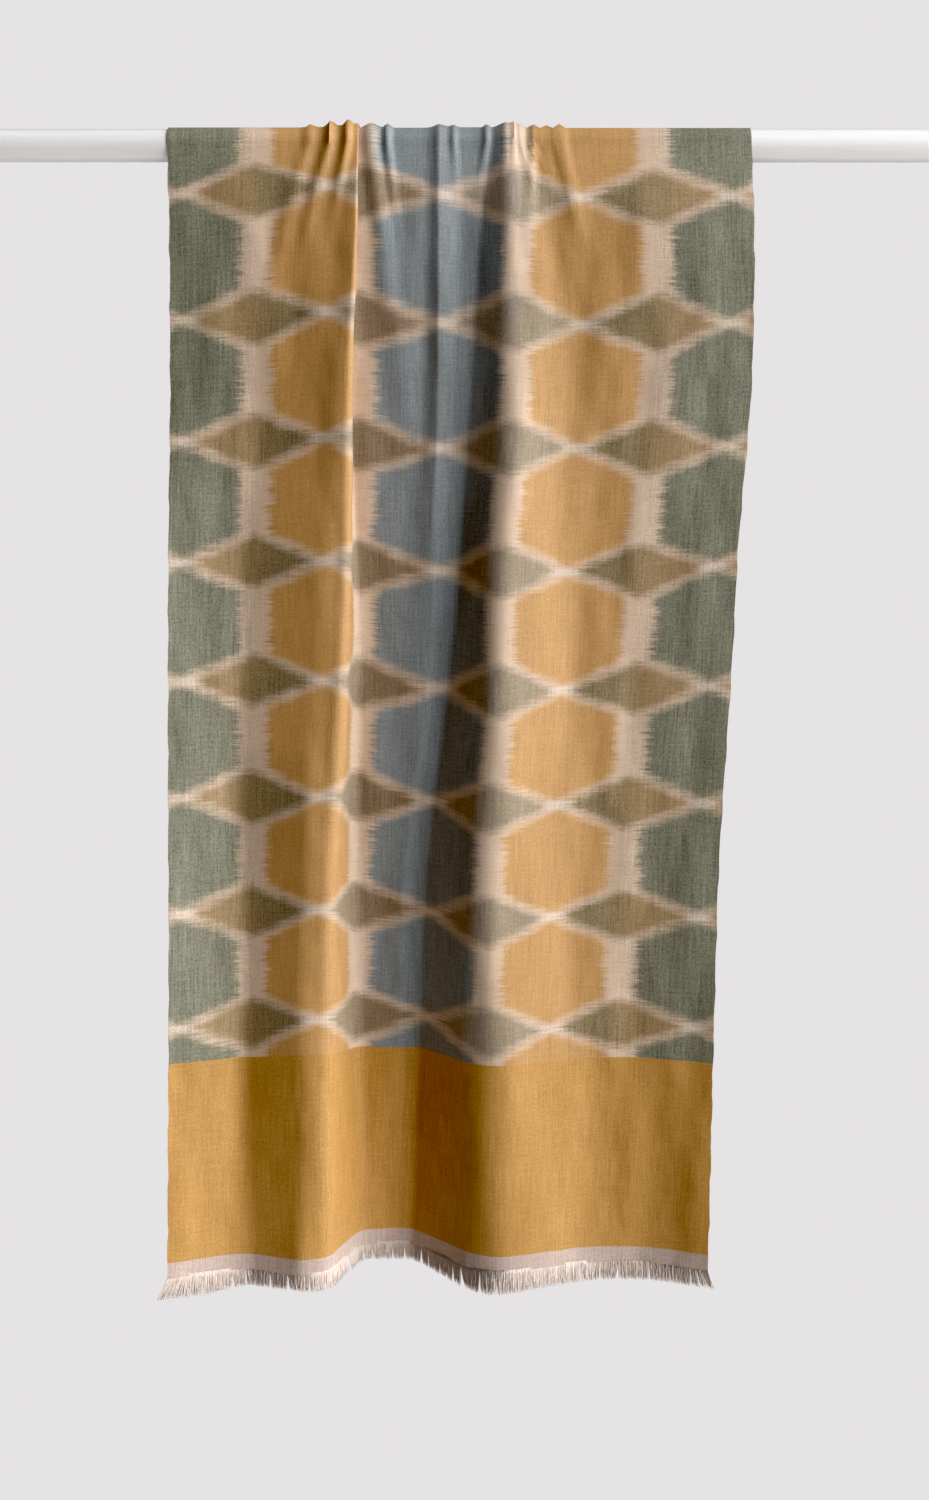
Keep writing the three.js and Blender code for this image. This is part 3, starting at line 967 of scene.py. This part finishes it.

# %% [markdown]
# ## The weave
#
# Hand-spun yarn is never even. Thick warp threads show as fine upright streaks and thick
# picks as level ones, and pale slubs turn up here and there. The dyed threads take their
# colour unevenly, the dark ones most of all. Close up, each crossing of the plain weave is a
# small rounded bump. Each groove between crossings is painted a little darker: painted shade.

# %% Cloth: uneven yarn
WARP_SHARE, WEFT_SHARE, HEATHER_SHARE, BLOTCH_SHARE = 1.8, 0.9, 1.7, 0.16
SLUB_LEVELS = (0.22, 0.34)      # of the noise: above these a slub starts and is full
SLUB_STRENGTH = 0.7
warp_streaks = cloth_noise(0.50, 0.018, 1.0, detail=3.0, roughness=0.7)
weft_streaks = cloth_noise(0.030, 0.55, 2.0, detail=3.0, roughness=0.7)
heather = cloth_noise(0.42, 0.36, 4.0, roughness=0.7)
blotches = cloth_noise(0.06, 0.035, 8.0)
threads = warp_streaks * WARP_SHARE + weft_streaks * WEFT_SHARE + heather * HEATHER_SHARE
tone = 1.0 + threads * uneven + blotches * BLOTCH_SHARE
slubs = cloth_noise(0.22, 0.9, 6.0, detail=1.0).rise(*SLUB_LEVELS)
yarn = silk.mix(1.0, dyed, silk.point(tone, tone, tone), "MULTIPLY")
yarn = silk.mix(slubs * uneven * SLUB_STRENGTH, yarn, PALE)
print("nodes with the yarn:", len(silk.tree.nodes))

# %% Cloth: thread crossings
THREAD_PITCH = 0.85             # millimetres between threads
THREAD_WANDER = 0.5             # how far a thread strays from its place
STREAK_RELIEF, HEATHER_RELIEF = 0.8, 0.5
# painted shade in the weave: the colour falls to 0.90 in a groove and rises 0.14 above that on a crown
GROOVE_PAINTED_SHADE, GROOVE_PAINTED_DARKEST = 0.14, 0.90
ROUGHNESS_VARIES = 0.12
warp_threads = ((acr + warp_streaks * THREAD_WANDER) * (math.pi / THREAD_PITCH)).sine().size()
weft_threads = ((aln + weft_streaks * THREAD_WANDER) * (math.pi / THREAD_PITCH)).sine().size()
relief = (warp_threads * weft_threads + warp_streaks * STREAK_RELIEF
          + weft_streaks * STREAK_RELIEF + heather * HEATHER_RELIEF)
# Painted shade: the colour is darkened in each groove between thread crossings.
painted_groove_shade = warp_threads * weft_threads * GROOVE_PAINTED_SHADE + GROOVE_PAINTED_DARKEST
yarn = silk.mix(1.0, yarn, silk.point(painted_groove_shade, painted_groove_shade, painted_groove_shade), "MULTIPLY")
woven = silk.add("ShaderNodeBump", None, {"Strength": 0.35, "Distance": 0.0004, "Height": relief})
silk.finish(cloth, Base_Color=yarn, Normal=woven,
            Roughness=CLOTH_ROUGHNESS + warp_streaks * ROUGHNESS_VARIES)
print("cloth material nodes:", len(silk.tree.nodes))

# %% [markdown]
# ## Loose threads and paint
#
# The fringe is the same pale warp yarn, each thread a little lighter or darker. The paint is
# smooth with a faint unevenness left by the brush along the pole.

# %% Fringe material
OBJECT_OUTPUT = 3               # of a Texture Coordinate node
FACTOR_OUTPUT = 2               # of an Attribute node
FINE_GRAIN = 900.0              # noise cells in a metre
DARKER_YARN, LIGHTER_YARN = srgb(208, 192, 182), srgb(222, 208, 199)
loose = Look("pale_yarn", Roughness=0.85, Sheen_Weight=0.15)
tint = loose.add("ShaderNodeAttribute", {"attribute_name": "thread_tint"}, output=FACTOR_OUTPUT)
fibre = loose.noise(loose.add("ShaderNodeTexCoord", output=OBJECT_OUTPUT), scale=FINE_GRAIN)
yarn_colour = loose.mix(tint, DARKER_YARN, LIGHTER_YARN)
twist = loose.add("ShaderNodeBump", None, {"Strength": 0.3, "Distance": 0.0002, "Height": fibre})
loose.finish(front_fringe, Base_Color=yarn_colour, Normal=twist)
back_fringe.data.materials.append(loose.material)
print("yarn material nodes:", len(loose.tree.nodes))

# %% Paint
PAINT_ROUGHNESS = 0.42
BRUSH_STROKES = (6.0, 160.0, 160.0)       # in a metre along the pole, and across it
THIN_PAINT, THICK_PAINT = srgb(240, 240, 240), srgb(247, 247, 247)
paint = Look("white_paint", Roughness=PAINT_ROUGHNESS)
spot = paint.add("ShaderNodeTexCoord", output=OBJECT_OUTPUT)
stretched = paint.add("ShaderNodeMapping", None, {"Vector": spot, "Scale": BRUSH_STROKES})
brushed = paint.noise(stretched, detail=4.0)
mottle = paint.noise(spot, scale=FINE_GRAIN)
white = paint.mix(brushed.rise(-0.3, 0.3), THIN_PAINT, THICK_PAINT)
skin = paint.add("ShaderNodeBump", None, {"Strength": 0.12, "Distance": 0.0004,
                                          "Height": brushed + mottle * 0.3})
paint.finish(pole, Base_Color=white, Normal=skin, Roughness=PAINT_ROUGHNESS + brushed * 0.10)
print("paint material nodes:", len(paint.tree.nodes))

# %% [markdown]
# ## The studio
#
# One big soft light stands to the right of the camera, so the side of each fold that faces
# right is bright and the other side falls into shadow. A weak even fill keeps the shadows
# open, and light from below stands for what a pale floor sends back up. A low light behind the
# rail does for the back of the stole what the key does for its front.

# %% Lights
def add_sun(name, strength, softness, azimuth, elevation):
    """Azimuth is to the right of the camera's line, elevation above the horizon, in degrees."""
    lamp = bpy.data.lights.new(name, "SUN")
    lamp.energy, lamp.angle = strength, math.radians(softness)
    sun = bpy.data.objects.new(name, lamp)
    sun.rotation_euler = (math.radians(90 - elevation), 0.0, math.radians(azimuth))
    bpy.context.scene.collection.objects.link(sun)


add_sun("key", strength=5.45, softness=62, azimuth=63, elevation=22)
add_sun("floor_bounce", strength=1.2, softness=20, azimuth=0, elevation=-90)
add_sun("behind", strength=1.9, softness=40, azimuth=186, elevation=6)
print("suns:", [light.name for light in bpy.data.lights])

# %% Background, fill and black level
BLACK_LEVEL = 0.048             # light this dim comes out black
FILL = 0.108
FILL_COLOUR = (1.08, 0.98, 0.92, 1.0)     # a little warm
PALE_GREY = srgb(229, 227, 228)
BACKGROUND = tuple(BLACK_LEVEL + (1 - BLACK_LEVEL) * c for c in PALE_GREY)
world = bpy.data.worlds.new("studio")
bpy.context.scene.world = world
world.use_nodes = True
air = world.node_tree.nodes
seen = air.new("ShaderNodeBackground")
seen.inputs["Color"].default_value = BACKGROUND
fill = air["Background"]
fill.inputs["Color"].default_value = FILL_COLOUR
fill.inputs["Strength"].default_value = FILL
which = air.new("ShaderNodeLightPath")
choose = air.new("ShaderNodeMixShader")
world.node_tree.links.new(which.outputs["Is Camera Ray"], choose.inputs[0])
world.node_tree.links.new(fill.outputs[0], choose.inputs[1])
world.node_tree.links.new(seen.outputs[0], choose.inputs[2])
world.node_tree.links.new(choose.outputs[0], air["World Output"].inputs["Surface"])
bpy.context.scene.view_settings.view_transform = "Standard"
bpy.context.scene.view_settings.use_curve_mapping = True
levels = bpy.context.scene.view_settings.curve_mapping
levels.black_level = (BLACK_LEVEL,) * 3
levels.update()
print("background:", [round(c, 3) for c in BACKGROUND[:3]])

# %% Floor
FLOOR_Z = -2.6
FLOOR_RADIUS = 1.7
deselect_all()
bpy.ops.mesh.primitive_circle_add(vertices=128, radius=FLOOR_RADIUS, fill_type="NGON",
                                  location=(0, 0, FLOOR_Z))
floor = bpy.context.active_object
floor.name = "floor"
floor.visible_shadow = False    # the light from below passes through it
plain = Look("pale_floor", Roughness=0.9)
plain.shader.inputs["Base Color"].default_value = srgb(236, 235, 235)
floor.data.materials.append(plain.material)
print("floor at", FLOOR_Z, "m")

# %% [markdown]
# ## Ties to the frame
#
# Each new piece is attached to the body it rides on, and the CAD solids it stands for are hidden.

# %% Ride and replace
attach(cloth, "root")
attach(front_fringe, "root")
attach(back_fringe, "root")
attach(pole, "root")
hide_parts("field_over_rail", "field_front", "band_front", "heading_front",
            "field_back", "band_back", "heading_back")
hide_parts("fringe_front")
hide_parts("fringe_back")
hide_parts("rail")
